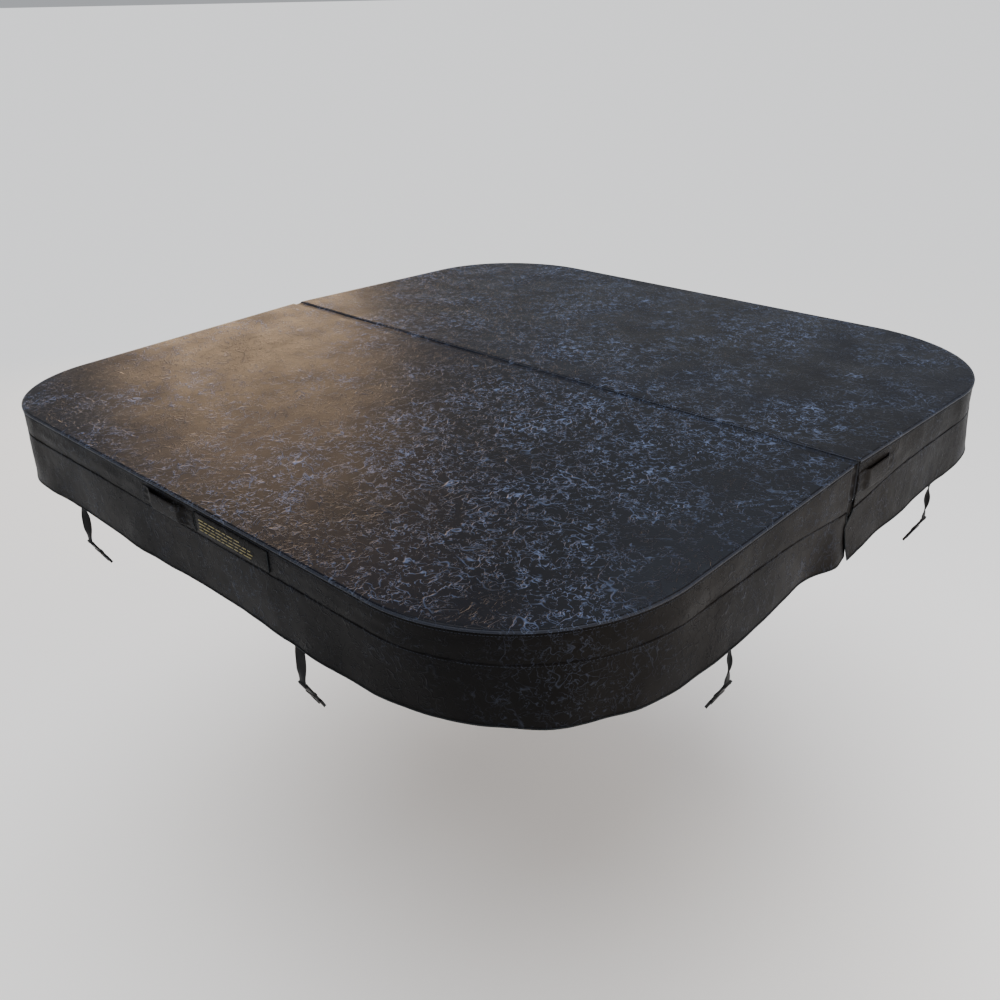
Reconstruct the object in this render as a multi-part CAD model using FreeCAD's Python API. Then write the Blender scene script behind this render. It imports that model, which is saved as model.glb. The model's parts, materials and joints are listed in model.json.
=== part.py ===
"""Bi-fold insulating cover for a spa: two tapered foam halves in sewn vinyl covers, joined by a
fabric hinge, with skirts, carry handles, zips and eight tie-down straps that end in snap buckles.

Frame, in millimetres: +X runs along the fold, +Y from the front half to the rear half, +Z up.
The origin is in the underside plane, which rests on the spa's rim, at the middle of the fold.
"""
import FreeCAD
import Part

import math
import os

V = FreeCAD.Vector

# Driving dimensions
HALF_X = 1015.0             # fold direction, centre to side
HALF_Y = 1050.0             # across the fold, centre to side
HINGE_GAP = 32.0            # between the two halves' hinge walls
EDGE_HEIGHT = 72.0          # finished thickness at the outer edge
HINGE_HEIGHT = 98.0         # finished thickness at the fold
CORNER_RADII = {            # by the signs of X and Y
    (1, -1): 410.0,
    (1, 1): 450.0,
    (-1, 1): 370.0,
    (-1, -1): 275.0,
}
VINYL = 1.5
FILM = 0.6                  # polyethylene vapour wrap
FIT = 0.3                   # slack between one layer and the next

SKIRT_DROP = 125.0          # below the underside
SKIRT_LAP = 8.0             # sewn onto the side band above the underside
CORNER_GORES = 5            # sewn panels that carry the skirt round one corner
WELT_OUT, WELT_DEEP = 3.0, 4.0

CHANNEL_WEB, CHANNEL_FLANGE, CHANNEL_WALL = 56.0, 20.0, 1.2

SEAL_BOTTOM, SEAL_TOP = 4.0, 46.0
ZIP_BOTTOM, ZIP_TOP = 52.0, 82.0
ZIP_END_INSET = 60.0
SLIDER_LENGTH, SLIDER_HEIGHT, SLIDER_DEEP = 18.0, 14.0, 5.0
PULL_LENGTH, PULL_WIDTH, PULL_THICK = 26.0, 8.0, 1.6

HINGE_STRIP_DROP = 6.0      # the strip's upper face, below the top edges

HANDLE_BOTTOM = 9.5
FRONT_HANDLE_SIZE = (216.0, 44.0)
SIDE_HANDLE_SIZE = (184.0, 56.0)
HANDLE_TAB = 24.0           # flat sewn end
HANDLE_BULGE = 20.0
HANDLE_THICK = 2.4
FRONT_HANDLE_X = -76.0
SIDE_HANDLE_Y = 110.0

LABEL_X = (38.0, 304.0)
LABEL_Z = (9.5, 58.0)

GROMMET_OUTER, GROMMET_HOLE, GROMMET_HEIGHT = 10.0, 5.0, 1.2
GROMMET_INSET = 120.0

WEBBING_WIDTH, WEBBING_THICK = 20.0, 1.6
TAB_HEIGHT = 28.0           # webbing sewn inside the skirt, above the hem
STRAP_TOP = -SKIRT_DROP - 2.0
BUCKLE_PIVOT = -232.0
BAR_RADIUS, LOOP_INNER, LOOP_OUTER = 2.0, 2.3, 3.9
BUCKLE_LEAN = 28.0          # degrees, prongs towards the spa
STRAPS = {                  # name: (half, outward direction, place along the side)
    "front_1": ("front", (0, -1), -545.0),
    "front_2": ("front", (0, -1), 370.0),
    "right_1": ("front", (1, 0), -477.0),
    "right_2": ("rear", (1, 0), 480.0),
    "left_1": ("front", (-1, 0), -477.0),
    "left_2": ("rear", (-1, 0), 480.0),
    "rear_1": ("rear", (0, 1), -545.0),
    "rear_2": ("rear", (0, 1), 370.0),
}

HALF_SIGN = {"front": -1, "rear": 1}
SLOPE = (HINGE_HEIGHT - EDGE_HEIGHT) / (HALF_Y - HINGE_GAP / 2)


def box(x, y, z):
    """A box from three (low, high) pairs."""
    return Part.makeBox(x[1] - x[0], y[1] - y[0], z[1] - z[0], V(x[0], y[0], z[0]))


def side_range(sign, low, high):
    """The pair (low, high) of distances from the fold, as a range along Y on that half."""
    return (low, high) if sign > 0 else (-high, -low)


def corner_arc(sx, sy, offset, entering_x):
    """The quarter arc of one corner, from its X side to its Y side, or back."""
    r = CORNER_RADII[(sx, sy)]
    cx, cy = sx * (HALF_X - r), sy * (HALF_Y - r)
    r += offset
    on_x = V(cx + sx * r, cy, 0)
    middle = V(cx + sx * r * math.sqrt(0.5), cy + sy * r * math.sqrt(0.5), 0)
    on_y = V(cx, cy + sy * r, 0)
    ends = (on_x, on_y) if entering_x else (on_y, on_x)
    return Part.Arc(ends[0], middle, ends[1]).toShape(), ends


def half_face(sign, offset, hinge):
    """A half's plan outline, that far outside the finished size, from the distance hinge outwards."""
    arc_1, (a, b) = corner_arc(1, sign, offset, True)
    arc_2, (c, d) = corner_arc(-1, sign, offset, False)
    start = V(HALF_X + offset, sign * hinge, 0)
    end = V(-HALF_X - offset, sign * hinge, 0)
    edges = [
        Part.makeLine(start, a),
        arc_1,
        Part.makeLine(b, c),
        arc_2,
        Part.makeLine(d, end),
        Part.makeLine(end, start),
    ]
    return Part.Face(Part.Wire(edges))


def prism(sign, offset, hinge, z_low, z_high):
    face = half_face(sign, offset, hinge)
    face.translate(V(0, 0, z_low))
    return face.extrude(V(0, 0, z_high - z_low))


def height(distance):
    """Finished thickness at a distance from the fold."""
    return HINGE_HEIGHT - SLOPE * (distance - HINGE_GAP / 2)


def under_slope(sign, shift, floor=-400.0):
    """All the space on one half below the sloping top, moved up by shift."""
    far = HALF_Y + 100.0
    points = [
        V(-HALF_X - 100, 0, floor),
        V(-HALF_X - 100, 0, height(0) + shift),
        V(-HALF_X - 100, sign * far, height(far) + shift),
        V(-HALF_X - 100, sign * far, floor),
    ]
    points.append(points[0])
    return Part.Face(Part.makePolygon(points)).extrude(V(2 * HALF_X + 200, 0, 0))


def tapered(sign, inset, hinge, z_low, shift):
    """A tapered block inside the finished outline, with its sloping top moved by shift."""
    return prism(sign, -inset, hinge, z_low, 200.0).common(under_slope(sign, shift))


# The halves

FILM_INSET = VINYL + FIT
FOAM_INSET = FILM_INSET + FILM + FIT
WALL = HINGE_GAP / 2


def foam_core(sign):
    """Expanded-foam slab, thick at the fold, grooved for the steel channel pushed onto its edge."""
    block = tapered(sign, FOAM_INSET, WALL + FOAM_INSET, FOAM_INSET, -FOAM_INSET)
    return block.cut(channel(sign, slack=FIT))


def channel(sign, slack=0.0):
    """C-section along the fold: a web against the hinge wall, and two flanges into the foam."""
    near = WALL + FOAM_INSET
    z_low = 16.0
    outer = box(
        (-HALF_X + 40 - slack, HALF_X - 40 + slack),
        side_range(sign, near + 0.01 - slack, near + CHANNEL_FLANGE + slack),
        (z_low - slack, z_low + CHANNEL_WEB + slack),
    )
    inner = box(
        (-HALF_X, HALF_X),
        side_range(sign, near + CHANNEL_WALL + slack, near + 2 * CHANNEL_FLANGE),
        (z_low + CHANNEL_WALL + slack, z_low + CHANNEL_WEB - CHANNEL_WALL - slack),
    )
    return outer.cut(inner)


def vapour_wrap(sign):
    outer = tapered(sign, FILM_INSET, WALL + FILM_INSET, FILM_INSET, -FILM_INSET)
    inside = FILM_INSET + FILM
    return outer.cut(tapered(sign, inside, WALL + inside, inside, -inside))


def top_panel(sign):
    low = under_slope(sign, -VINYL)
    return tapered(sign, 0.0, WALL, 0.0, 0.0).cut(low)


def side_band(sign):
    ring = prism(sign, 0.0, WALL + VINYL, 0.0, 200.0).cut(prism(sign, -VINYL, 0.0, -1.0, 201.0))
    return ring.common(under_slope(sign, -VINYL))


def hinge_wall(sign):
    wall = box((-HALF_X, HALF_X), side_range(sign, WALL, WALL + VINYL), (0.0, 200.0))
    return wall.common(under_slope(sign, -VINYL))


def bottom_panel(sign, holes):
    panel = prism(sign, -VINYL, WALL + VINYL, 0.0, VINYL)
    for x, y in holes:
        panel = panel.cut(Part.makeCylinder(GROMMET_OUTER + 0.2, 10, V(x, y, -5)))
    return panel


def top_welt(sign):
    ring = prism(sign, FIT + WELT_OUT, WALL, 0.0, 200.0).cut(prism(sign, FIT, 0.0, -1.0, 201.0))
    return ring.common(under_slope(sign, 0.0)).cut(under_slope(sign, -WELT_DEEP))


def corner_gores(sx, sy):
    """Wedge-shaped spaces, fanned from a corner's centre, that divide it into equal gores."""
    radius = CORNER_RADII[(sx, sy)]
    centre = V(sx * (HALF_X - radius), sy * (HALF_Y - radius), -SKIRT_DROP - 5)
    step = math.pi / 2 / CORNER_GORES
    wedges = []
    for i in range(CORNER_GORES):
        rays = [
            centre + V(sx * math.cos(angle), sy * math.sin(angle), 0) * (2 * radius)
            for angle in (i * step, (i + 1) * step)
        ]
        triangle = Part.Face(Part.makePolygon([centre, rays[0], rays[1], centre]))
        wedges.append(triangle.extrude(V(0, 0, SKIRT_DROP + SKIRT_LAP + 10)))
    return wedges


def skirt_pieces(sign):
    """The skirt's straight panels and corner gores, as separate solids that meet at seams."""
    inner, outer = FIT, FIT + VINYL
    ring = prism(sign, outer, WALL, -SKIRT_DROP, SKIRT_LAP)
    ring = ring.cut(prism(sign, inner, 0.0, -SKIRT_DROP - 1, SKIRT_LAP + 1))
    near, far = CORNER_RADII[(1, sign)], CORNER_RADII[(-1, sign)]
    z = (-SKIRT_DROP - 5, SKIRT_LAP + 5)
    x_out, y_out = HALF_X + 50, HALF_Y + 50
    straight = [
        box((HALF_X - 20, x_out), side_range(sign, 0, HALF_Y - near), z),
        box((-HALF_X + far, HALF_X - near), side_range(sign, HALF_Y - 20, y_out), z),
        box((-x_out, -HALF_X + 20), side_range(sign, 0, HALF_Y - far), z),
    ]
    regions = straight + corner_gores(1, sign) + corner_gores(-1, sign)
    return [ring.common(region) for region in regions]


def grommet_places(sign):
    x = HALF_X * 0.5
    return [
        (side * x, sign * distance)
        for side in (-1, 1)
        for distance in (GROMMET_INSET, HALF_Y - GROMMET_INSET)
    ]


def grommets(sign):
    """Drain eyelets set flush in the underside, two near the fold and two near the edge."""
    out = []
    for x, y in grommet_places(sign):
        ring = Part.makeCylinder(GROMMET_OUTER, GROMMET_HEIGHT, V(x, y, 0.15))
        out.append(ring.cut(Part.makeCylinder(GROMMET_HOLE, 4, V(x, y, -1))))
    return out


# The fold: strip and seals


def hinge_strip(sign):
    top = HINGE_HEIGHT - HINGE_STRIP_DROP
    return box((-HALF_X, HALF_X), side_range(sign, 0.4, WALL), (top - VINYL, top))


def hinge_seal(sign):
    """Soft foam pad down the hinge wall that closes the gap against steam."""
    return box(
        (-HALF_X + 6, HALF_X - 6), side_range(sign, 0.6, WALL), (SEAL_BOTTOM, SEAL_TOP)
    )


# Zips on the hinge walls


def zip_tape(sign):
    """Woven tape sewn to the hinge wall, with the closed coil as a ridge down its middle."""
    x = (-HALF_X + ZIP_END_INSET, HALF_X - ZIP_END_INSET)
    middle = (ZIP_BOTTOM + ZIP_TOP) / 2
    tape = box(x, side_range(sign, WALL - 1.0, WALL), (ZIP_BOTTOM, ZIP_TOP))
    coil = box(x, side_range(sign, WALL - 2.6, WALL - 1.0), (middle - 3, middle + 3))
    return tape.fuse(coil).removeSplitter()


def slider_x():
    """The slider's leading end with the zip closed."""
    return -HALF_X + ZIP_END_INSET + 30


def zip_slider(sign):
    """Slider body around the coil, with two lugs that hold the pull's pin."""
    middle = (ZIP_BOTTOM + ZIP_TOP) / 2
    x = slider_x()
    face = WALL - 1.2
    z = (middle - SLIDER_HEIGHT / 2, middle + SLIDER_HEIGHT / 2)
    body = box((x, x + SLIDER_LENGTH), side_range(sign, face - SLIDER_DEEP, face), z)
    tunnel = box(
        (x - 1, x + SLIDER_LENGTH + 1),
        side_range(sign, WALL - 3.2, WALL),
        (middle - 3.4, middle + 3.4),
    )
    body = body.cut(tunnel)
    for z0 in (middle - 6.5, middle + 4.9):
        lug = box(
            (x + 6, x + 12),
            side_range(sign, face - SLIDER_DEEP - 4.5, face - SLIDER_DEEP),
            (z0, z0 + 1.6),
        )
        body = body.fuse(lug)
    pin = Part.makeCylinder(0.9, 13.0, pull_pin(sign) - V(0, 0, 6.5), V(0, 0, 1))
    return body.fuse(pin).removeSplitter()


def pull_pin(sign):
    """The middle of the pin that the zip pull swings on."""
    face = WALL - 1.2 - SLIDER_DEEP - 2.6
    return V(slider_x() + 9, sign * face, (ZIP_BOTTOM + ZIP_TOP) / 2)


def zip_pull(sign):
    """Flat metal tab, lying along the zip, with an eye around the slider's pin."""
    pin = pull_pin(sign)
    eye = Part.makeCylinder(2.2, PULL_WIDTH, pin - V(0, 0, PULL_WIDTH / 2), V(0, 0, 1))
    tab = box(
        (pin.x + 1.5, pin.x + PULL_LENGTH),
        (pin.y - PULL_THICK / 2, pin.y + PULL_THICK / 2),
        (pin.z - PULL_WIDTH / 2, pin.z + PULL_WIDTH / 2),
    )
    hole = Part.makeCylinder(0.95, PULL_WIDTH + 2, pin - V(0, 0, PULL_WIDTH / 2 + 1), V(0, 0, 1))
    return eye.fuse(tab).cut(hole).removeSplitter()


# Carry handles


def handle_profile(length, grow):
    """The strap's line in plan for a wall along X facing -Y: two flat ends and an arched middle."""
    half = length / 2
    bow = half - HANDLE_TAB
    base = -FIT - grow
    return [
        V(-half, base, 0),
        V(-bow, base, 0),
        V(0, base - HANDLE_BULGE, 0),
        V(bow, base, 0),
        V(half, base, 0),
    ]


def handle(length, deep):
    """A carry strap centred on the origin, sewn flat at both ends, standing out towards -Y."""
    inner, outer = handle_profile(length, 0.0), handle_profile(length, HANDLE_THICK)
    edges = [
        Part.makeLine(inner[0], inner[1]),
        Part.Arc(inner[1], inner[2], inner[3]).toShape(),
        Part.makeLine(inner[3], inner[4]),
        Part.makeLine(inner[4], outer[4]),
        Part.makeLine(outer[4], outer[3]),
        Part.Arc(outer[3], outer[2], outer[1]).toShape(),
        Part.makeLine(outer[1], outer[0]),
        Part.makeLine(outer[0], inner[0]),
    ]
    return Part.Face(Part.Wire(edges)).extrude(V(0, 0, deep))


def on_side(shape, outward, along, z):
    """Moves a shape made on a wall that faces -Y to a side of the cover, at a place along it."""
    turn = {(0, -1): 0, (1, 0): 90, (0, 1): 180, (-1, 0): 270}[outward]
    wall = HALF_X if outward[0] else HALF_Y
    place = V(outward[0] * wall, outward[1] * wall, z)
    place += V(0, along, 0) if outward[0] else V(along, 0, 0)
    out = shape.copy()
    out.rotate(V(0, 0, 0), V(0, 0, 1), turn)
    out.translate(place)
    return out


# Tie-down straps and buckles, made on a wall that faces -Y, with z from the underside


def strap_tab():
    """The webbing's end, sewn inside the skirt above the hem."""
    half = WEBBING_WIDTH / 2
    low = -SKIRT_DROP + 2
    return box((-half, half), (0.1, 0.1 + WEBBING_THICK), (low, low + TAB_HEIGHT))


def strap_plane():
    """The middle of the hanging webbing, outside the band's face."""
    return -FIT - VINYL / 2


def strap():
    """Hanging webbing that ends in a loop around the buckle's bar."""
    half = WEBBING_WIDTH / 2
    y = strap_plane()
    strip = box(
        (-half, half),
        (y - WEBBING_THICK / 2, y + WEBBING_THICK / 2),
        (BUCKLE_PIVOT + LOOP_INNER + 0.4, STRAP_TOP),
    )
    centre = V(-half, y, BUCKLE_PIVOT)
    loop = Part.makeCylinder(LOOP_OUTER, WEBBING_WIDTH, centre, V(1, 0, 0))
    shape = strip.fuse(loop)
    hole = Part.makeCylinder(LOOP_INNER, WEBBING_WIDTH + 2, centre - V(1, 0, 0), V(1, 0, 0))
    return shape.cut(hole).removeSplitter()


def mirrored(points):
    """The points, then their mirror images in X, as one closed outline."""
    return points + [(-x, z) for x, z in reversed(points)]


def plate(points, thick):
    """A plate in the XZ plane through the origin, from its outline."""
    ring = [V(x, -thick / 2, z) for x, z in points]
    ring.append(ring[0])
    return Part.Face(Part.makePolygon(ring)).extrude(V(0, thick, 0))


def buckle():
    """Male half of a side-release buckle, hanging from its bar at the origin."""
    frame = plate(mirrored([(15.5, 2.5), (16.5, 0), (16, -24), (13.5, -32)]), 5.0)
    window = box((-11.2, 11.2), (-10, 10), (-7.5, 10))
    slot = box((-11.2, 11.2), (-10, 10), (-17.0, -11.5))
    bar = Part.makeCylinder(BAR_RADIUS, 30.0, V(-15, 0, 0), V(1, 0, 0))
    shoulder = plate(mirrored([(13.5, -30), (14.5, -34), (10, -42)]), 8.0)
    guide = plate(mirrored([(3.2, -38), (2.8, -62), (1.5, -66)]), 4.0)
    shape = frame.cut(window).cut(slot).fuse(bar).fuse(shoulder).fuse(guide)
    prong = [
        (7.5, -38),
        (12, -38),
        (12.5, -52),
        (16, -56),
        (15, -66),
        (11, -82),
        (8, -84),
        (8, -60),
    ]
    for side in (-1, 1):
        shape = shape.fuse(plate([(side * x, z) for x, z in prong], 6.0))
    return shape.removeSplitter()


def hung_buckle():
    shape = buckle()
    shape.rotate(V(0, 0, 0), V(1, 0, 0), BUCKLE_LEAN)
    shape.translate(V(0, strap_plane(), BUCKLE_PIVOT))
    return shape


def label():
    """Plain care patch on the front side."""
    return box(LABEL_X, (-HALF_Y - FIT - 0.8, -HALF_Y - FIT), LABEL_Z)


def half_nodes(name, sign):
    """The nodes of one half that don't depend on the side."""
    return {
        f"{name}_foam_core": [foam_core(sign)],
        f"{name}_steel_channel": [channel(sign)],
        f"{name}_vapour_wrap": [vapour_wrap(sign)],
        f"{name}_top_panel": [top_panel(sign)],
        f"{name}_side_band": [side_band(sign)],
        f"{name}_hinge_wall": [hinge_wall(sign)],
        f"{name}_bottom_panel": [bottom_panel(sign, grommet_places(sign))],
        f"{name}_drain_grommets": grommets(sign),
        f"{name}_top_welt": [top_welt(sign)],
        f"{name}_skirt": skirt_pieces(sign),
        f"{name}_hinge_strip": [hinge_strip(sign)],
        f"{name}_hinge_seal": [hinge_seal(sign)],
        f"{name}_zip_tape": [zip_tape(sign)],
        f"{name}_zip_slider": [zip_slider(sign)],
        f"{name}_zip_pull": [zip_pull(sign)],
    }


def all_nodes():
    nodes = {}
    for name, sign in HALF_SIGN.items():
        nodes.update(half_nodes(name, sign))
    long_handle, side_handle = handle(*FRONT_HANDLE_SIZE), handle(*SIDE_HANDLE_SIZE)
    nodes["front_handle"] = [on_side(long_handle, (0, -1), FRONT_HANDLE_X, HANDLE_BOTTOM)]
    nodes["rear_handle"] = [on_side(long_handle, (0, 1), FRONT_HANDLE_X, HANDLE_BOTTOM)]
    nodes["right_handle"] = [on_side(side_handle, (1, 0), SIDE_HANDLE_Y, HANDLE_BOTTOM)]
    nodes["left_handle"] = [on_side(side_handle, (-1, 0), SIDE_HANDLE_Y, HANDLE_BOTTOM)]
    nodes["care_label"] = [label()]
    for name in HALF_SIGN:
        nodes[f"{name}_strap_tabs"] = []
    for name, (half, outward, along) in STRAPS.items():
        nodes[f"{half}_strap_tabs"].append(on_side(strap_tab(), outward, along, 0.0))
        nodes[f"strap_{name}"] = [on_side(strap(), outward, along, 0.0)]
        nodes[f"buckle_{name}"] = [on_side(hung_buckle(), outward, along, 0.0)]
    return nodes


def export(name, shapes):
    """Writes one node, and stops if a shape isn't made of closed, valid solids."""
    solids = [solid for shape in shapes for solid in shape.Solids]
    for solid in solids:
        if not solid.isValid() or solid.Volume <= 0:
            raise ValueError(f"{name} has a solid that isn't valid")
    whole = solids[0] if len(solids) == 1 else Part.makeCompound(solids)
    whole.exportStep(os.path.join("parts", f"{name}.step"))
    print(f"{name}: {len(solids)} solids, {whole.Volume / 1000:.1f} cm3")


def main():
    os.makedirs("parts", exist_ok=True)
    for name, shapes in all_nodes().items():
        export(name, shapes)


main()
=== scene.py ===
import bisect
import json
import math

import bpy
from mathutils import Matrix, Vector, noise


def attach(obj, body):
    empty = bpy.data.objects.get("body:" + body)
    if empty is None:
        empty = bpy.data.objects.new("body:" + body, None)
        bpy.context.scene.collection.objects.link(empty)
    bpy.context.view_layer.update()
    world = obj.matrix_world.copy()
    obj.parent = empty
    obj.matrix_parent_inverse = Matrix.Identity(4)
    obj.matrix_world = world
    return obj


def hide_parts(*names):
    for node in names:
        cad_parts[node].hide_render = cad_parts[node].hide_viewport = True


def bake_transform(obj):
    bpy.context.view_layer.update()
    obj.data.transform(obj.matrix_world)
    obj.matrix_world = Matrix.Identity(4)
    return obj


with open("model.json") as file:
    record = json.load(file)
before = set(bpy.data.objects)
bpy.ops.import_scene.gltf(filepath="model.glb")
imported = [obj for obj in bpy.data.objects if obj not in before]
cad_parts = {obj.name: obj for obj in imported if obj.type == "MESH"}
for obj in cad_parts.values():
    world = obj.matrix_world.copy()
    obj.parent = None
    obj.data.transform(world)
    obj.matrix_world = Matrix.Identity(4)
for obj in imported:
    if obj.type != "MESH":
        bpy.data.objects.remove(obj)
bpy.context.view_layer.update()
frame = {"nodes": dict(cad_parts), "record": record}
nodes = frame["nodes"]

# Driving dimensions, in metres
HALF_X, HALF_Y = 1.015, 1.050
WALL = 0.016                    # from the fold to each half's hinge wall
EDGE_HEIGHT, HINGE_HEIGHT = 0.072, 0.098
CORNERS = {(1, -1): 0.410, (1, 1): 0.450, (-1, 1): 0.370, (-1, -1): 0.275}
HEM = -0.127
SEAM = 0.004
EDGE_ROLL = 0.0035
STRAP_WIDTH, STRAP_THICK = 0.020, 0.0016
STRAPS = {
    "front_1": ("front", (0, -1), -0.545),
    "front_2": ("front", (0, -1), 0.370),
    "right_1": ("front", (1, 0), -0.477),
    "right_2": ("rear", (1, 0), 0.480),
    "left_1": ("front", (-1, 0), -0.477),
    "left_2": ("rear", (-1, 0), 0.480),
    "rear_1": ("rear", (0, 1), -0.545),
    "rear_2": ("rear", (0, 1), 0.370),
}
STRAP_PLANE = 0.00105           # from the wall out to the middle of the webbing
STRAP_TOP, BUCKLE_PIVOT = -0.126, -0.232
STRAP_TAIL = 0.016              # hidden behind the hem
STRAP_TWIST = math.radians(62)
STITCH_PITCH, STITCH_SHARE, STITCH_RADIUS = 0.007, 0.62, 0.00045
FRONT_BACK_HANDLE = {"along": -0.076, "length": 0.216, "deep": 0.044, "stand": 0.010}
SIDE_HANDLE = {"along": 0.110, "length": 0.184, "deep": 0.056, "stand": 0.0065}
GUSSETS = {                     # level: (inset from the side, reach along Y, reach along Z)
    "upper": (0.0030, (-0.0152, 0.0154), (-0.004, 0.088)),
    "lower": (0.0020, (-0.0340, 0.0360), (-0.105, -0.001)),
}
SIGN = {"front": -1, "rear": 1}


# Camera

def camera():
    """The photograph's viewpoint, fitted to the outline of the cover."""
    right = Vector((0.73119, 0.68193, -0.01828))
    up = Vector((-0.29256, 0.33767, 0.89464))
    back = Vector((0.61626, -0.64880, 0.44641))
    turn = Matrix((right, up, back)).transposed().to_4x4()
    data = bpy.data.cameras.new("camera")
    data.sensor_width = 36.0
    data.lens = 36.35
    data.shift_x = -0.0082
    data.shift_y = -0.0012
    obj = bpy.data.objects.new("camera", data)
    obj.matrix_world = Matrix.Translation((1.8435, -1.9812, 1.0273)) @ turn
    bpy.context.scene.collection.objects.link(obj)
    bpy.context.scene.camera = obj


# Node material helpers

class Graph:
    """A material's node tree, with short calls to add nodes and link them."""

    def __init__(self, name):
        self.material = bpy.data.materials.new(name)
        self.material.use_nodes = True
        self.tree = self.material.node_tree
        self.tree.nodes.clear()
        self.shader = self.add("ShaderNodeBsdfPrincipled")
        output = self.add("ShaderNodeOutputMaterial")
        self.link(self.shader.outputs["BSDF"], output.inputs["Surface"])

    def add(self, kind, **settings):
        node = self.tree.nodes.new(kind)
        for key, value in settings.items():
            setattr(node, key, value)
        return node

    def link(self, source, target):
        self.tree.links.new(source, target)

    def set(self, name, value):
        """Sets a shader input to a value, or links an output to it."""
        target = self.shader.inputs[name]
        if hasattr(value, "is_linked"):
            self.link(value, target)
        else:
            target.default_value = value

    def position(self, warp=0.0, warp_scale=5.0):
        """The piece's own coordinates, optionally pushed about by noise."""
        coordinate = self.add("ShaderNodeTexCoord").outputs["Object"]
        if not warp:
            return coordinate
        wobble = self.add("ShaderNodeTexNoise")
        wobble.inputs["Scale"].default_value = warp_scale
        wobble.inputs["Detail"].default_value = 3
        self.link(coordinate, wobble.inputs["Vector"])
        mix = self.add("ShaderNodeMixRGB", blend_type="ADD")
        mix.inputs["Fac"].default_value = warp
        self.link(coordinate, mix.inputs["Color1"])
        self.link(wobble.outputs["Color"], mix.inputs["Color2"])
        return mix.outputs["Color"]

    def noise(self, vector, scale, detail=4.0, rough=0.5):
        node = self.add("ShaderNodeTexNoise")
        node.inputs["Scale"].default_value = scale
        node.inputs["Detail"].default_value = detail
        node.inputs["Roughness"].default_value = rough
        self.link(vector, node.inputs["Vector"])
        return node.outputs["Fac"]

    def ramp(self, value, *stops):
        """Maps a value through (position, colour) stops."""
        node = self.add("ShaderNodeValToRGB")
        ends = node.color_ramp.elements
        while len(ends) < len(stops):
            ends.new(0.5)
        for element, (place, colour) in zip(ends, stops):
            element.position = place
            element.color = (*colour, 1) if hasattr(colour, "__len__") else (colour, colour, colour, 1)
        self.link(value, node.inputs["Fac"])
        return node.outputs["Color"]

    def math(self, operation, a, b=0.0):
        node = self.add("ShaderNodeMath", operation=operation)
        for socket, value in zip(node.inputs, (a, b)):
            if hasattr(value, "is_linked"):
                self.link(value, socket)
            else:
                socket.default_value = value
        return node.outputs["Value"]

    def mix(self, amount, a, b):
        node = self.add("ShaderNodeMixRGB")
        for socket, value in zip(node.inputs, (amount, a, b)):
            if hasattr(value, "is_linked"):
                self.link(value, socket)
            else:
                socket.default_value = value if isinstance(value, float) else (*value, 1)
        return node.outputs["Color"]

    def bump(self, height, strength, distance):
        node = self.add("ShaderNodeBump")
        node.inputs["Strength"].default_value = strength
        node.inputs["Distance"].default_value = distance
        self.link(height, node.inputs["Height"])
        self.link(node.outputs["Normal"], self.shader.inputs["Normal"])


def crease_lines(graph, scale, warp, width, breaks):
    """Thin wandering threads where a noise crosses its middle, broken into short lengths."""
    vector = graph.position(warp=warp, warp_scale=scale * 0.6)
    value = graph.noise(vector, scale, detail=2.0, rough=0.55)
    distance = graph.math("ABSOLUTE", graph.math("SUBTRACT", value, 0.5))
    threads = graph.ramp(distance, (0.0, 1.0), (width, 0.0))
    gaps = graph.ramp(graph.noise(graph.position(), breaks, detail=1.0), (0.44, 0.0), (0.54, 1.0))
    return graph.math("MULTIPLY", threads, gaps)


def crinkle(graph):
    """Embossed creases of four sizes, and how strongly their painted reflection shows from cluster to
    cluster.
    """
    families = [
        crease_lines(graph, 9.0, 0.16, 0.007, 13.0),
        crease_lines(graph, 17.0, 0.11, 0.011, 21.0),
        crease_lines(graph, 30.0, 0.07, 0.016, 34.0),
        crease_lines(graph, 52.0, 0.04, 0.022, 45.0),
    ]
    lines = families[0]
    for family in families[1:]:
        lines = graph.math("MAXIMUM", lines, family)
    clusters = graph.ramp(
        graph.noise(graph.position(), 4.2, detail=4.0, rough=0.6), (0.40, 0.10), (0.62, 1.0)
    )
    return lines, graph.math("MULTIPLY", lines, clusters)


def vinyl(name, base, warm, line, crease_reflection_amount, rough, shine):
    """Marine vinyl with a crinkled emboss, its creases painted paler and bluer than the ground as a
    painted reflection of cool light caught along them.
    """
    graph = Graph(name)
    lines, crease_reflection_mask = crinkle(graph)
    patches = graph.ramp(graph.noise(graph.position(), 1.6, detail=2.0), (0.38, 0.0), (0.62, 1.0))
    ground = graph.mix(patches, base, warm)
    # Painted reflection: the crease mask blends the ground towards the pale blue line colour, standing in
    # for cool light caught along the creases.
    amount = graph.math("MULTIPLY", crease_reflection_mask, crease_reflection_amount)
    graph.set("Base Color", graph.mix(amount, ground, line))
    wear = graph.noise(graph.position(), 9.0, detail=6.0)
    graph.set("Roughness", graph.ramp(wear, (0.3, rough - 0.06), (0.7, rough + 0.08)))
    graph.set("Specular IOR Level", shine)
    grain = graph.noise(graph.position(), 700.0, detail=2.0)
    relief = graph.math("ADD", graph.math("MULTIPLY", lines, 0.9), graph.math("MULTIPLY", grain, 0.10))
    graph.bump(relief, 0.8, 0.0016)
    return graph.material


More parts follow.
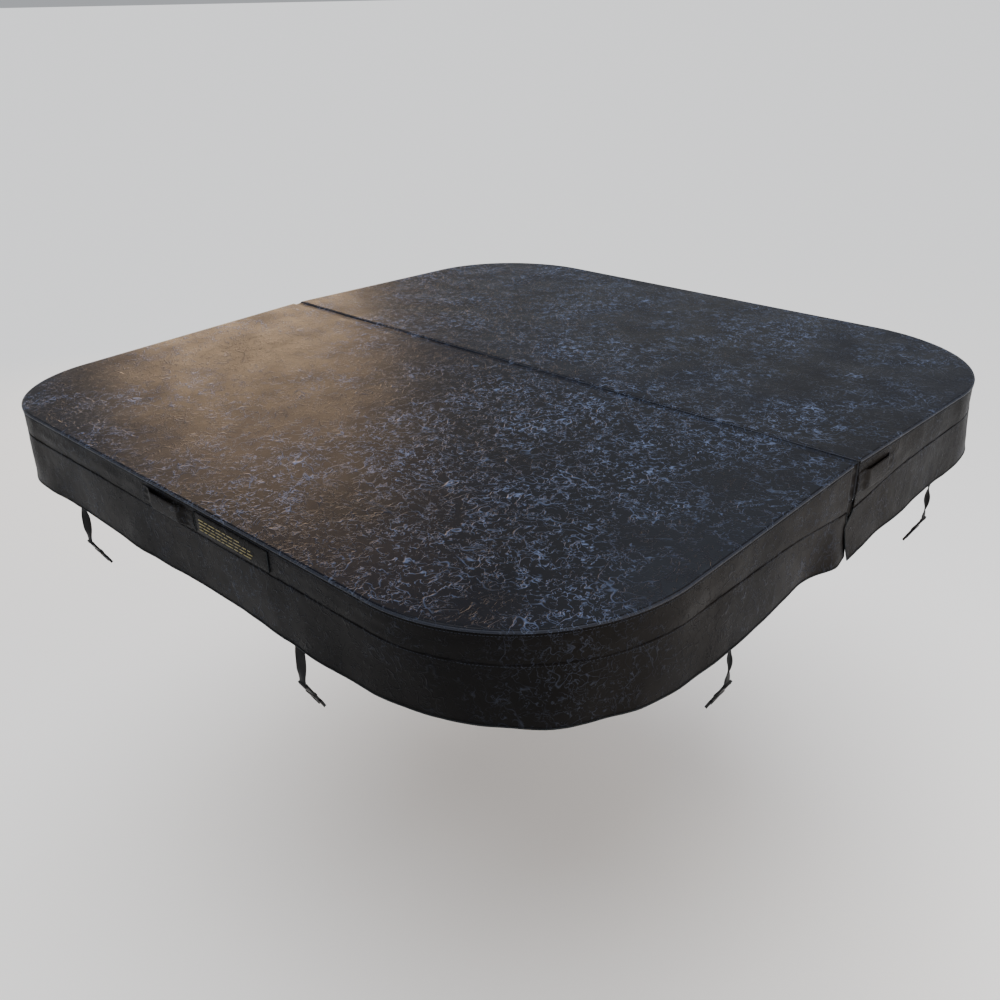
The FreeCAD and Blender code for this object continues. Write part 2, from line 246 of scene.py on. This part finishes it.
def webbing(name, colour, weave):
    """Ribbed woven tape."""
    graph = Graph(name)
    wave = graph.add("ShaderNodeTexWave")
    wave.inputs["Scale"].default_value = weave
    wave.bands_direction = "Z"
    graph.link(graph.position(), wave.inputs["Vector"])
    fuzz = graph.noise(graph.position(), 600.0)
    rib = graph.math("MULTIPLY", wave.outputs["Fac"], fuzz)
    pale = tuple(min(1.0, c * 3.0 + 0.004) for c in colour)
    graph.set("Base Color", graph.mix(rib, colour, pale))
    graph.set("Roughness", graph.ramp(fuzz, (0.3, 0.6), (0.7, 0.85)))
    graph.set("Specular IOR Level", 0.25)
    graph.bump(rib, 0.6, 0.0006)
    return graph.material


def moulded(name, colour, rough, metal=0.0, marks=60.0, shine=0.5):
    """Plastic or metal with faint flow marks and scuffs."""
    graph = Graph(name)
    cloud = graph.noise(graph.position(), marks, detail=5.0)
    pale = tuple(min(1.0, c * 1.6 + 0.002) for c in colour)
    graph.set("Base Color", graph.mix(cloud, colour, pale))
    graph.set("Metallic", metal)
    graph.set("Specular IOR Level", shine)
    graph.set("Roughness", graph.ramp(cloud, (0.35, max(0.05, rough - 0.08)), (0.65, rough + 0.1)))
    fine = graph.noise(graph.position(), marks * 8, detail=3.0)
    graph.bump(fine, 0.15, 0.0004)
    return graph.material


def cloth(name, colour):
    """Coated woven scrim: a fine two-way weave."""
    graph = Graph(name)
    across = graph.add("ShaderNodeTexWave")
    across.inputs["Scale"].default_value = 130.0
    along = graph.add("ShaderNodeTexWave")
    along.inputs["Scale"].default_value = 130.0
    along.bands_direction = "Y"
    graph.link(graph.position(), across.inputs["Vector"])
    graph.link(graph.position(), along.inputs["Vector"])
    weave = graph.math("ADD", across.outputs["Fac"], along.outputs["Fac"])
    cloud = graph.noise(graph.position(), 3.0, detail=5.0)
    pale = tuple(c * 1.7 + 0.01 for c in colour)
    graph.set("Base Color", graph.mix(cloud, colour, pale))
    graph.set("Roughness", graph.ramp(cloud, (0.3, 0.55), (0.7, 0.7)))
    graph.bump(weave, 0.25, 0.0004)
    return graph.material


MATERIALS = {
    # In each vinyl, line and the amount after it paint the creases' reflection of cool light into the
    # colour.
    "black_vinyl": vinyl(
        "black vinyl",
        base=(0.0028, 0.0036, 0.0078),
        warm=(0.0046, 0.0046, 0.0064),
        line=(0.105, 0.140, 0.245),
        crease_reflection_amount=1.0,
        rough=0.36,
        shine=0.12,
    ),
    "skirt_vinyl": vinyl(
        "skirt vinyl",
        base=(0.0040, 0.0037, 0.0040),
        warm=(0.0075, 0.0062, 0.0055),
        line=(0.045, 0.052, 0.075),
        crease_reflection_amount=0.55,
        rough=0.46,
        shine=0.05,
    ),
    "lining": cloth("scrim lining", (0.03, 0.03, 0.034)),
    "foam": moulded("expanded foam", (0.80, 0.80, 0.78), 0.8),
    "film": moulded("polyethylene film", (0.60, 0.62, 0.64), 0.25),
    "galvanised": moulded("galvanised steel", (0.55, 0.57, 0.60), 0.4, metal=1.0),
    "seal": cloth("seal cloth", (0.012, 0.012, 0.014)),
    "zip_tape": webbing("zip tape", (0.012, 0.012, 0.013), 160.0),
    "zip_metal": moulded("nickel plate", (0.55, 0.55, 0.57), 0.25, metal=1.0),
    "welt": vinyl(
        "piping",
        base=(0.016, 0.019, 0.028),
        warm=(0.020, 0.022, 0.030),
        line=(0.12, 0.15, 0.23),
        crease_reflection_amount=0.9,
        rough=0.40,
        shine=0.12,
    ),
    "brass": moulded("rolled brass", (0.50, 0.40, 0.22), 0.35, metal=1.0),
    "webbing": webbing("polypropylene webbing", (0.003, 0.003, 0.0035), 190.0),
    "buckle": moulded("moulded acetal", (0.003, 0.003, 0.0035), 0.42, shine=0.12),
    "label": vinyl(
        "patch vinyl",
        base=(0.0045, 0.0042, 0.0042),
        warm=(0.0065, 0.0058, 0.0054),
        line=(0.040, 0.040, 0.050),
        crease_reflection_amount=0.3,
        rough=0.44,
        shine=0.05,
    ),
    "binding": webbing("hem binding", (0.003, 0.0045, 0.0055), 120.0),
    "ink": moulded("patch ink", (0.15, 0.125, 0.050), 0.6),
    "thread": webbing("stitching", (0.020, 0.024, 0.034), 400.0),
}


# Outline

def outline(sign, spacing=0.006):
    """A half's plan outline from one fold end to the other: (point, outward normal, distance)."""
    near, far = CORNERS[(1, sign)], CORNERS[(-1, sign)]
    out = []

    def line(a, b, normal):
        steps = max(1, round((b - a).length / spacing))
        out.extend((a.lerp(b, i / steps), normal) for i in range(steps))

    def arc(sx, radius, first, last):
        centre = Vector((sx * (HALF_X - radius), sign * (HALF_Y - radius)))
        steps = round(radius * math.pi / 2 / spacing)
        for i in range(steps):
            angle = first + (last - first) * i / steps
            normal = Vector((math.cos(angle), sign * math.sin(angle)))
            out.append((centre + normal * radius, normal))

    line(Vector((HALF_X, sign * WALL)), Vector((HALF_X, sign * (HALF_Y - near))), Vector((1, 0)))
    arc(1, near, 0.0, math.pi / 2)
    line(Vector((HALF_X - near, sign * HALF_Y)), Vector((-HALF_X + far, sign * HALF_Y)), Vector((0, sign)))
    arc(-1, far, math.pi / 2, math.pi)
    line(Vector((-HALF_X, sign * (HALF_Y - far))), Vector((-HALF_X, sign * WALL)), Vector((-1, 0)))
    out.append((Vector((-HALF_X, sign * WALL)), Vector((-1, 0))))
    distance = 0.0
    full = []
    for i, (point, normal) in enumerate(out):
        if i:
            distance += (point - out[i - 1][0]).length
        full.append((point, normal, distance))
    return full


def height(y):
    """The top's height above the underside at a distance |y| from the fold."""
    slope = (HINGE_HEIGHT - EDGE_HEIGHT) / (HALF_Y - WALL)
    return HINGE_HEIGHT - slope * (abs(y) - WALL)


def smooth(value, low, high):
    """0 below low, 1 above high, and a smooth step between."""
    t = min(1.0, max(0.0, (value - low) / (high - low)))
    return t * t * (3 - 2 * t)


def bell(value, middle, width):
    """1 at the middle, falling away smoothly on both sides."""
    return math.exp(-(((value - middle) / width) ** 2))


def make_mesh(name, points, faces, material, body=None):
    """A smooth-shaded mesh with one material, riding on a CAD body where one is named."""
    mesh = bpy.data.meshes.new(name)
    mesh.from_pydata([tuple(p) for p in points], [], faces)
    mesh.update()
    mesh.polygons.foreach_set("use_smooth", [True] * len(mesh.polygons))
    obj = bpy.data.objects.new(name, mesh)
    bpy.context.scene.collection.objects.link(obj)
    mesh.materials.append(MATERIALS[material])
    if body:
        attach(obj, body)
    return obj


def grid_faces(columns, rows):
    """Quads for a grid stored column by column."""
    faces = []
    for i in range(columns - 1):
        for k in range(rows - 1):
            start = i * rows + k
            faces.append((start, start + rows, start + rows + 1, start + 1))
    return faces


def ring_faces(rings, sides):
    """Quads for a tube stored ring by ring, with as many points in each ring as it has sides."""
    faces = []
    for i in range(rings - 1):
        near, far = i * sides, (i + 1) * sides
        for k in range(sides):
            m = (k + 1) % sides
            faces.append((near + k, far + k, far + m, near + m))
    return faces


def thicken(obj, thick):
    """Gives a single-layer mesh its real thickness, inwards."""
    modifier = obj.modifiers.new("thickness", "SOLIDIFY")
    modifier.thickness = thick
    modifier.offset = -1.0
    bpy.context.view_layer.objects.active = obj
    with bpy.context.temp_override(object=obj):
        bpy.ops.object.modifier_apply(modifier="thickness")


# The halves

def top_relief(x, y):
    """Slack and dents in the top's vinyl, a few millimetres at most."""
    slow = noise.noise(Vector((x * 1.7, y * 1.7, 3.0)))
    quick = noise.noise(Vector((x * 7.0, y * 5.0, 8.0)))
    return 0.0016 * slow + 0.0008 * quick


def edge_distance(x, y, sign):
    """How far a point of the top is inside its half's outline."""
    inside = min(HALF_X - abs(x), HALF_Y - abs(y), abs(y) - WALL)
    radius = CORNERS[(1 if x > 0 else -1, sign)]
    dx = abs(x) - (HALF_X - radius)
    dy = abs(y) - (HALF_Y - radius)
    if dx > 0 and dy > 0:
        inside = min(inside, radius - math.hypot(dx, dy))
    return max(0.0, inside)


def half_width(y, side, sign):
    """The outline's |x| on the right or left side, at a distance |y| from the fold."""
    radius = CORNERS[(side, sign)]
    dy = abs(y) - (HALF_Y - radius)
    if dy <= 0:
        return HALF_X
    return HALF_X - radius + math.sqrt(max(0.0, radius**2 - dy**2))


def spread(low, high, count, fine):
    """Places from low to high, evenly spaced between short steps at both ends."""
    middle = [low + (high - low) * i / count for i in range(1, count)]
    inner = [v for v in middle if low + fine[-1] < v < high - fine[-1]]
    return [low + f for f in fine] + inner + [high - f for f in reversed(fine)]


def top_surface(name):
    """The padded top: a grid across the half, rolled over at its edge."""
    sign = SIGN[name]
    roll = [0.0, 0.0003, 0.0009, 0.0018, 0.0026, EDGE_ROLL]
    bend = 0.60                 # the largest corner starts here, and the lines crowd towards the edge
    bent_lines = 90
    straight = [y for y in spread(WALL, HALF_Y, 70, roll) if y < bend]
    turns = [math.pi / 2 * i / bent_lines for i in range(1, bent_lines + 1)]
    lines = straight + [bend + (HALF_Y - bend) * math.sin(turn) for turn in turns]
    shares = spread(0.0, 1.0, 150, [f / (2 * HALF_X) for f in roll])
    points = []
    for distance in lines:
        y = sign * distance
        left, right = -half_width(y, -1, sign), half_width(y, 1, sign)
        for share in shares:
            x = left + (right - left) * share
            inset = min(EDGE_ROLL, edge_distance(x, y, sign))
            drop = EDGE_ROLL - math.sqrt(max(0.0, EDGE_ROLL**2 - (EDGE_ROLL - inset) ** 2))
            ease = smooth(edge_distance(x, y, sign), EDGE_ROLL, 0.06)
            points.append((x, y, height(y) - drop + ease * top_relief(x, y)))
    obj = make_mesh(
        f"{name}_top_skin", points, grid_faces(len(lines), len(shares)), "black_vinyl", f"{name}_half"
    )
    if sign > 0:
        obj.data.flip_normals()
    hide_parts(f"{name}_top_panel")


def fold_side(point):
    """How near a point of the right or left side is to the fold, 0 to 1."""
    return bell(point.y, 0.0, 0.16) * smooth(abs(point.x), HALF_X - 0.05, HALF_X - 0.001)


def side_wave(name, distance, point, depth):
    """How far the side's vinyl stands out, which grows towards the hem."""
    ripple = noise.noise(Vector((distance * 3.1, 0.0, 5.0 + SIGN[name])))
    pleat = noise.noise(Vector((distance * 11.0, depth * 0.7, 9.0 + SIGN[name])))
    fine = noise.noise(Vector((distance * 40.0, depth * 6.0, 2.0)))
    corner = smooth(abs(point.x), 0.62, 0.86) * smooth(abs(point.y), 0.60, 0.86)
    pleats = 0.0035 + 0.006 * corner
    stand = max(0.0, 0.005 + 0.010 * ripple + pleats * pleat)
    return depth * stand + 0.0005 * (1 + fine)


def near_fold_flare(name, point, depth):
    """The rear skirt's free edge stands out at the fold's ends, over a bulge in the front skirt."""
    if abs(point.x) < HALF_X - 0.05:
        return 0.0
    if name == "rear":
        return 0.017 * depth**1.5 * bell(point.y, 0.0, 0.11)
    return 0.016 * depth * bell(point.y, -0.075, 0.045) - 0.010 * depth * bell(point.y, -0.20, 0.09)


def seam_height(point):
    """The seam between side wall and skirt, which dips at the fold's ends."""
    return SEAM - 0.024 * fold_side(point)


def hem_height(name, distance):
    """The hem, which wanders a few millimetres up and down."""
    wander = 0.004 * noise.noise(Vector((distance * 2.3, 4.0, SIGN[name])))
    return HEM - 0.002 + wander


def side_band(name):
    """The stitched side wall, from under the piping to the skirt's seam."""
    edge = outline(SIGN[name])
    rows = 14
    points = []
    for point, normal, distance in edge:
        top = height(point.y) - 0.005
        low = seam_height(point) - 0.008
        for k in range(rows):
            t = k / (rows - 1)
            soft = math.sin(math.pi * t) ** 0.5 if 0 < t < 1 else 0.0
            puff = 0.0018 * soft * (1 + noise.noise(Vector((distance * 9.0, t * 3.0, 7.0))))
            crease = noise.noise(Vector((distance * 30.0, t * 4.0, 6.0)))
            q = point + normal * (0.0004 + puff + 0.0008 * soft * crease)
            points.append((q.x, q.y, top + (low - top) * t))
    obj = make_mesh(
        f"{name}_side_skin", points, grid_faces(len(edge), rows), "skirt_vinyl", f"{name}_half"
    )
    if SIGN[name] > 0:
        obj.data.flip_normals()
    thicken(obj, 0.0008)
    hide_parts(f"{name}_side_band")


def skirt_point(name, entry, t):
    """A point of the skirt, t from 0 at the seam to 1 at the hem."""
    point, normal, distance = entry
    top = seam_height(point)
    low = hem_height(name, distance)
    out = 0.0016 + side_wave(name, distance, point, t) + near_fold_flare(name, point, t)
    q = point + normal * out
    shift = 0.0
    if name == "rear" and abs(point.x) > HALF_X - 0.02:
        shift = -0.042 * bell(point.y, WALL, 0.05) * smooth(t, 0.0, 0.35)
    return Vector((q.x, q.y + shift, top + (low - top) * t))


def skirt(name):
    """The hanging skirt, with free folds that open towards the hem, and its bound hem."""
    edge = outline(SIGN[name])
    rows = 26
    points = [skirt_point(name, entry, k / (rows - 1)) for entry in edge for k in range(rows)]
    obj = make_mesh(
        f"{name}_skirt_skin", points, grid_faces(len(edge), rows), "skirt_vinyl", f"{name}_half"
    )
    if SIGN[name] > 0:
        obj.data.flip_normals()
    thicken(obj, 0.0012)
    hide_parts(f"{name}_skirt")
    binding = tube_along(
        f"{name}_hem_binding",
        [skirt_point(name, edge[0], k / 12) for k in range(12)]
        + [skirt_point(name, entry, 1.0) for entry in edge[::2]]
        + [skirt_point(name, edge[-1], k / 12) for k in range(12, -1, -1)],
        0.0017,
        "binding",
        f"{name}_half",
    )


def tube_along(name, path, radius, material, body):
    """A round bead that follows a path."""
    sides = 8
    last = len(path) - 1
    points = []
    for i, p in enumerate(path):
        along = (path[min(i + 1, last)] - path[max(i - 1, 0)]).normalized()
        side = along.cross(Vector((0, 0, 1)))
        if side.length < 0.2:
            side = along.cross(Vector((1, 0, 0)) if abs(along.x) < 0.7 else Vector((0, 1, 0)))
        side.normalize()
        rise = side.cross(along)
        for k in range(sides):
            angle = 2 * math.pi * k / sides
            points.append(p + radius * (side * math.cos(angle) + rise * math.sin(angle)))
    return make_mesh(name, points, ring_faces(len(path), sides), material, body)


def dashes(name, path, material, body):
    """A row of sewn stitches along a path: short raised threads."""
    distances = [0.0]
    for a, b in zip(path, path[1:]):
        distances.append(distances[-1] + (b - a).length)

    def at(distance):
        i = min(len(path) - 2, max(0, bisect.bisect_right(distances, distance) - 1))
        span = distances[i + 1] - distances[i] or 1.0
        return path[i].lerp(path[i + 1], (distance - distances[i]) / span)

    points, faces = [], []
    for i in range(int(distances[-1] / STITCH_PITCH)):
        a, b = at(i * STITCH_PITCH), at((i + STITCH_SHARE) * STITCH_PITCH)
        along = (b - a).normalized()
        side = along.cross(Vector((0, 0, 1)))
        side = side.normalized() if side.length > 0.1 else Vector((1, 0, 0))
        rise = side.cross(along)
        base = len(points)
        side, rise = side * STITCH_RADIUS, rise * STITCH_RADIUS
        for end in (a, b):
            points += [end + side, end + rise, end - side, end - rise]
        faces += [tuple(base + corner for corner in face) for face in ring_faces(2, 4)]
        faces += [(base, base + 1, base + 2, base + 3), (base + 7, base + 6, base + 5, base + 4)]
    make_mesh(name, points, faces, material, body)


def piping(name):
    """The round welts along the top edge and the fold, and the stitches under the welt and the seam."""
    sign = SIGN[name]
    edge = outline(sign)
    body = f"{name}_half"

    def rim(out, down):
        path = []
        for p, n, _ in edge:
            q = p + n * out
            path.append(Vector((q.x, q.y, height(p.y) - down)))
        return path

    bead = tube_along(f"{name}_piping", rim(0.0006, 0.0045), 0.0030, "welt", body)
    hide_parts(f"{name}_top_welt")
    dashes(f"{name}_edge_stitch", rim(0.0024, 0.012), "thread", body)
    seam = []
    for p, n, _ in edge:
        q = p + n * 0.0022
        seam.append(Vector((q.x, q.y, seam_height(p) - 0.004)))
    dashes(f"{name}_seam_stitch", seam, "thread", body)
    start, step, count = -HALF_X + 0.004, 0.01, 203
    fold = [Vector((start + i * step, sign * WALL, HINGE_HEIGHT - 0.0042)) for i in range(count)]
    tube_along(f"{name}_fold_piping", fold, 0.0026, "welt", body)


def hinge_strip():
    """One strip of vinyl across the fold, sewn to both halves, sagging a little between them."""
    columns, rows = 340, 13
    points = []
    half = WALL - 0.0012
    for i in range(columns):
        x = -HALF_X + 2 * HALF_X * i / (columns - 1)
        for k in range(rows):
            y = -half + 2 * half * k / (rows - 1)
            sag = 0.0015 * math.cos(math.pi * y / (2 * half))
            sag += 0.0012 * noise.noise(Vector((x * 9, y * 40, 1)))
            points.append((x, y, HINGE_HEIGHT - 0.0040 - sag))
    obj = make_mesh("hinge_strip_skin", points, grid_faces(columns, rows), "black_vinyl")
    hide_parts("front_hinge_strip", "rear_hinge_strip")
    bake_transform(obj)


def fold_gusset(side, level):
    """Wrinkled vinyl on the rear half that closes the fold's end, above or below the seam."""
    inset, across, upright = GUSSETS[level]
    place = HALF_X - inset
    columns, rows = 16, 40
    points = []
    for i in range(columns):
        y = across[0] + (across[1] - across[0]) * i / (columns - 1)
        for k in range(rows):
            z = upright[0] + (upright[1] - upright[0]) * k / (rows - 1)
            wrinkle = 0.0016 * math.sin(z * 190 + 30 * y) * bell(y, 0.002, 0.010)
            points.append((side * (place + wrinkle), y, z))
    label = f"{'right' if side > 0 else 'left'}_gusset_{level}"
    obj = make_mesh(label, points, grid_faces(columns, rows), "skirt_vinyl", "rear_half")
    thicken(obj, 0.0010)


# Handles and patch

def on_side(points, outward, along):
    """Moves points made on a wall that faces -Y to a side of the cover."""
    turn = {(0, -1): 0.0, (1, 0): math.pi / 2, (0, 1): math.pi, (-1, 0): -math.pi / 2}[outward]
    wall = HALF_X if outward[0] else HALF_Y
    place = Vector((outward[0] * wall, outward[1] * wall, 0))
    place += Vector((0, along, 0)) if outward[0] else Vector((along, 0, 0))
    spin = Matrix.Rotation(turn, 3, "Z")
    return [spin @ Vector(p) + place for p in points]


def handle(name, body, outward, along, length, deep, stand):
    """A padded carry strap: flat sewn ends, an open arched middle and pleats beside each end."""
    columns, rows = 96, 14
    bottom = 0.0095
    thick = 0.0045
    half = length / 2
    tab = 0.024
    points = []
    for i in range(columns):
        s = -1 + 2 * i / (columns - 1)
        x = s * half
        arch = smooth(1 - abs(s), tab / half, 0.52) if abs(s) > 0.48 else 1.0
        out = 0.0016 + stand * arch
        squeeze = 1 - 0.10 * arch
        for k in range(2 * rows):
            front = k < rows
            t = k / (rows - 1) if front else (2 * rows - 1 - k) / (rows - 1)
            pleat = 0.0011 * math.sin(t * 16 + 2 * s) * bell(abs(s), 0.80, 0.13)
            puff = (thick / 2) * math.sin(math.pi * t) ** 0.35 if 0 < t < 1 else 0.0005
            z = bottom + deep / 2 + (t - 0.5) * deep * squeeze
            y = -out - pleat - (puff if front else -puff)
            points.append((x, y, z))
    count = 2 * rows
    faces = ring_faces(columns, count)
    faces.append(tuple(range(count)))
    faces.append(tuple((columns - 1) * count + k for k in reversed(range(count))))
    obj = make_mesh(f"{name}_skin", on_side(points, outward, along), faces, "skirt_vinyl", body)
    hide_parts(name)
    for end in (-1, 1):
        x = end * (half - 0.006)
        path = [(x, -0.0048, bottom + 0.004 + i * (deep - 0.008) / 12) for i in range(13)]
        label = f"{name}_stitch_{'right' if end > 0 else 'left'}"
        dashes(label, on_side(path, outward, along), "thread", body)


def care_patch():
    """Plain sewn patch with rows of blank bars where printing would be."""
    x0, x1, z0, z1 = 0.038, 0.304, 0.0095, 0.058
    body = "front_half"
    columns, rows = 60, 12
    points = []
    for i in range(columns):
        u = i / (columns - 1)
        for k in range(rows):
            v = k / (rows - 1)
            bow = 0.0028 * math.sqrt(abs(math.sin(math.pi * u) * math.sin(math.pi * v)))
            points.append((x0 + (x1 - x0) * u, -HALF_Y - 0.0036 - bow, z0 + (z1 - z0) * v))
    patch = make_mesh("care_patch", points, grid_faces(columns, rows), "label", body)
    thicken(patch, 0.0012)
    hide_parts("care_label")
    lengths = (0.014, 0.022, 0.010, 0.018, 0.026, 0.012)
    for row in range(4):
        z = z0 + 0.011 + row * 0.0078
        x = x0 + 0.020
        for column in range(9 - 2 * (row == 3)):
            length = lengths[(column * 2 + row * 5) % len(lengths)]
            bar(f"care_patch_bar_{row + 1}_{column + 1}", (x, x + length), (z, z + 0.0017), body)
            x += length + 0.005
    for number, x in enumerate((x0, x1)):
        path = [Vector((x, -HALF_Y - 0.0036, z0 + i * (z1 - z0) / 10)) for i in range(11)]
        tube_along(f"care_patch_binding_{number + 1}", path, 0.0016, "binding", body)


def bar(name, x, z, body):
    """A thin raised bar of ink on the patch."""
    y = -HALF_Y - 0.0068
    points = [(px, py, pz) for px in x for py in (y, y + 0.0028) for pz in z]
    faces = [(0, 1, 3, 2), (4, 6, 7, 5), (0, 4, 5, 1), (2, 3, 7, 6), (0, 2, 6, 4), (1, 5, 7, 3)]
    make_mesh(name, points, faces, "ink", body)


# Straps and buckles

def strap(name):
    """Webbing that leaves the hem flat, turns towards edge-on halfway down and is flat at the buckle."""
    half, outward, along = STRAPS[name]
    rows = 44
    top, low = STRAP_TOP + STRAP_TAIL, BUCKLE_PIVOT
    centre, points = [], []
    for i in range(rows):
        t = i / (rows - 1)
        z = top + (low - top) * t
        sway = 0.002 * math.sin(math.pi * t * 1.5)
        angle = STRAP_TWIST * math.sin(math.pi * smooth(t, 0.10, 0.92))
        middle = Vector((sway, 0.005 * (1 - smooth(t, 0.0, 0.25)) - STRAP_PLANE, z))
        across = Vector((math.cos(angle), math.sin(angle), 0)) * STRAP_WIDTH / 2
        through = Vector((-math.sin(angle), math.cos(angle), 0)) * STRAP_THICK / 2
        centre.append(middle)
        points += [
            middle - across - through,
            middle + across - through,
            middle + across + through,
            middle - across + through,
        ]
    faces = ring_faces(rows, 4)
    faces += [(0, 1, 2, 3), tuple((rows - 1) * 4 + k for k in (3, 2, 1, 0))]
    placed = on_side(points, outward, along)
    obj = make_mesh(f"strap_{name}_web", placed, faces, "webbing")
    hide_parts(f"strap_{name}")
    bend = on_side([(0, -STRAP_PLANE, z) for z in (-0.124, -0.138)], outward, along)
    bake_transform(obj)
    path = on_side(centre, outward, along)
    loop = strap_loop(name, outward, along)


def strap_loop(name, outward, along):
    """The sewn loop that holds the buckle's bar."""
    inner, outer, sides = 0.0024, 0.0040, 20
    half = STRAP_WIDTH / 2
    points = []
    for x in (-half, half):
        for radius in (inner, outer):
            for k in range(sides):
                angle = 2 * math.pi * k / sides
                y = -STRAP_PLANE + radius * math.cos(angle)
                points.append((x, y, BUCKLE_PIVOT + radius * math.sin(angle)))
    faces = []
    for k in range(sides):
        m = (k + 1) % sides
        a, b, c, d = 0, sides, 2 * sides, 3 * sides
        faces += [
            (a + k, b + k, b + m, a + m),
            (c + k, c + m, d + m, d + k),
            (b + k, d + k, d + m, b + m),
            (a + k, a + m, c + m, c + k),
        ]
    placed = on_side(points, outward, along)
    return make_mesh(f"strap_{name}_loop", placed, faces, "webbing", f"strap_{name}")


# Stage

def light(name, place, target, size, energy, colour):
    """A square area light at a place, aimed at a target."""
    data = bpy.data.lights.new(name, "AREA")
    data.shape = "SQUARE"
    data.size = size
    data.energy = energy
    data.color = colour
    obj = bpy.data.objects.new(name, data)
    aim = (Vector(target) - Vector(place)).to_track_quat("-Z", "Y").to_matrix().to_4x4()
    obj.matrix_world = Matrix.Translation(place) @ aim
    bpy.context.scene.collection.objects.link(obj)


def studio():
    """Pale floor and soft light: warm from the left, cool from high behind, near white from the right."""
    size, drop = 1500.0, -1.5
    corners = [(-size, -size, drop), (size, -size, drop), (size, size, drop), (-size, size, drop)]
    mesh = bpy.data.meshes.new("floor")
    mesh.from_pydata(corners, [], [(0, 1, 2, 3)])
    floor = bpy.data.objects.new("floor", mesh)
    graph = Graph("pale floor")
    graph.set("Base Color", (0.93, 0.93, 0.93, 1))
    graph.set("Roughness", 0.9)
    mesh.materials.append(graph.material)
    bpy.context.scene.collection.objects.link(floor)
    world = bpy.data.worlds.new("studio")
    world.use_nodes = True
    background = world.node_tree.nodes["Background"]
    background.inputs["Color"].default_value = (0.92, 0.95, 1.0, 1)
    background.inputs["Strength"].default_value = 0.45
    bpy.context.scene.world = world
    overhead()
    light("warm back left", (-5.0, 2.2, 1.15), (-0.7, 0.1, 0.0), 1.9, 60, (1.0, 0.66, 0.36))
    light("cool near", (-0.6, 2.4, 3.4), (0.4, -0.4, 0.0), 1.6, 25, (0.62, 0.76, 1.0))
    light("right", (4.2, 1.0, 0.7), (0.9, 0.3, 0.0), 1.8, 110, (1.0, 0.90, 0.80))


def overhead():
    """Broad light from above, which whitens the floor and the creases' upper edges."""
    data = bpy.data.lights.new("overhead", "SUN")
    data.energy = 2.8
    data.angle = math.radians(60)
    obj = bpy.data.objects.new("overhead", data)
    obj.rotation_euler = (math.radians(8), 0, 0)
    bpy.context.scene.collection.objects.link(obj)


def dress_cad():
    """Gives every CAD piece that stays in view its slot's material."""
    slots = {entry["node"]: entry["material_slot"] for entry in frame["record"]["subparts"]}
    for name, obj in nodes.items():
        obj.data.materials.clear()
        obj.data.materials.append(MATERIALS[slots[name]])


def build():
    """Makes the camera, every piece and the stage."""
    camera()
    dress_cad()
    for name in STRAPS:
        strap(name)
    for name in SIGN:
        top_surface(name)
        side_band(name)
        skirt(name)
        piping(name)
    hinge_strip()
    handle("front_handle", "front_half", (0, -1), **FRONT_BACK_HANDLE)
    handle("rear_handle", "rear_half", (0, 1), **FRONT_BACK_HANDLE)
    handle("right_handle", "rear_half", (1, 0), **SIDE_HANDLE)
    handle("left_handle", "rear_half", (-1, 0), **SIDE_HANDLE)
    for side in (1, -1):
        for level in GUSSETS:
            fold_gusset(side, level)
    care_patch()
    studio()


build()
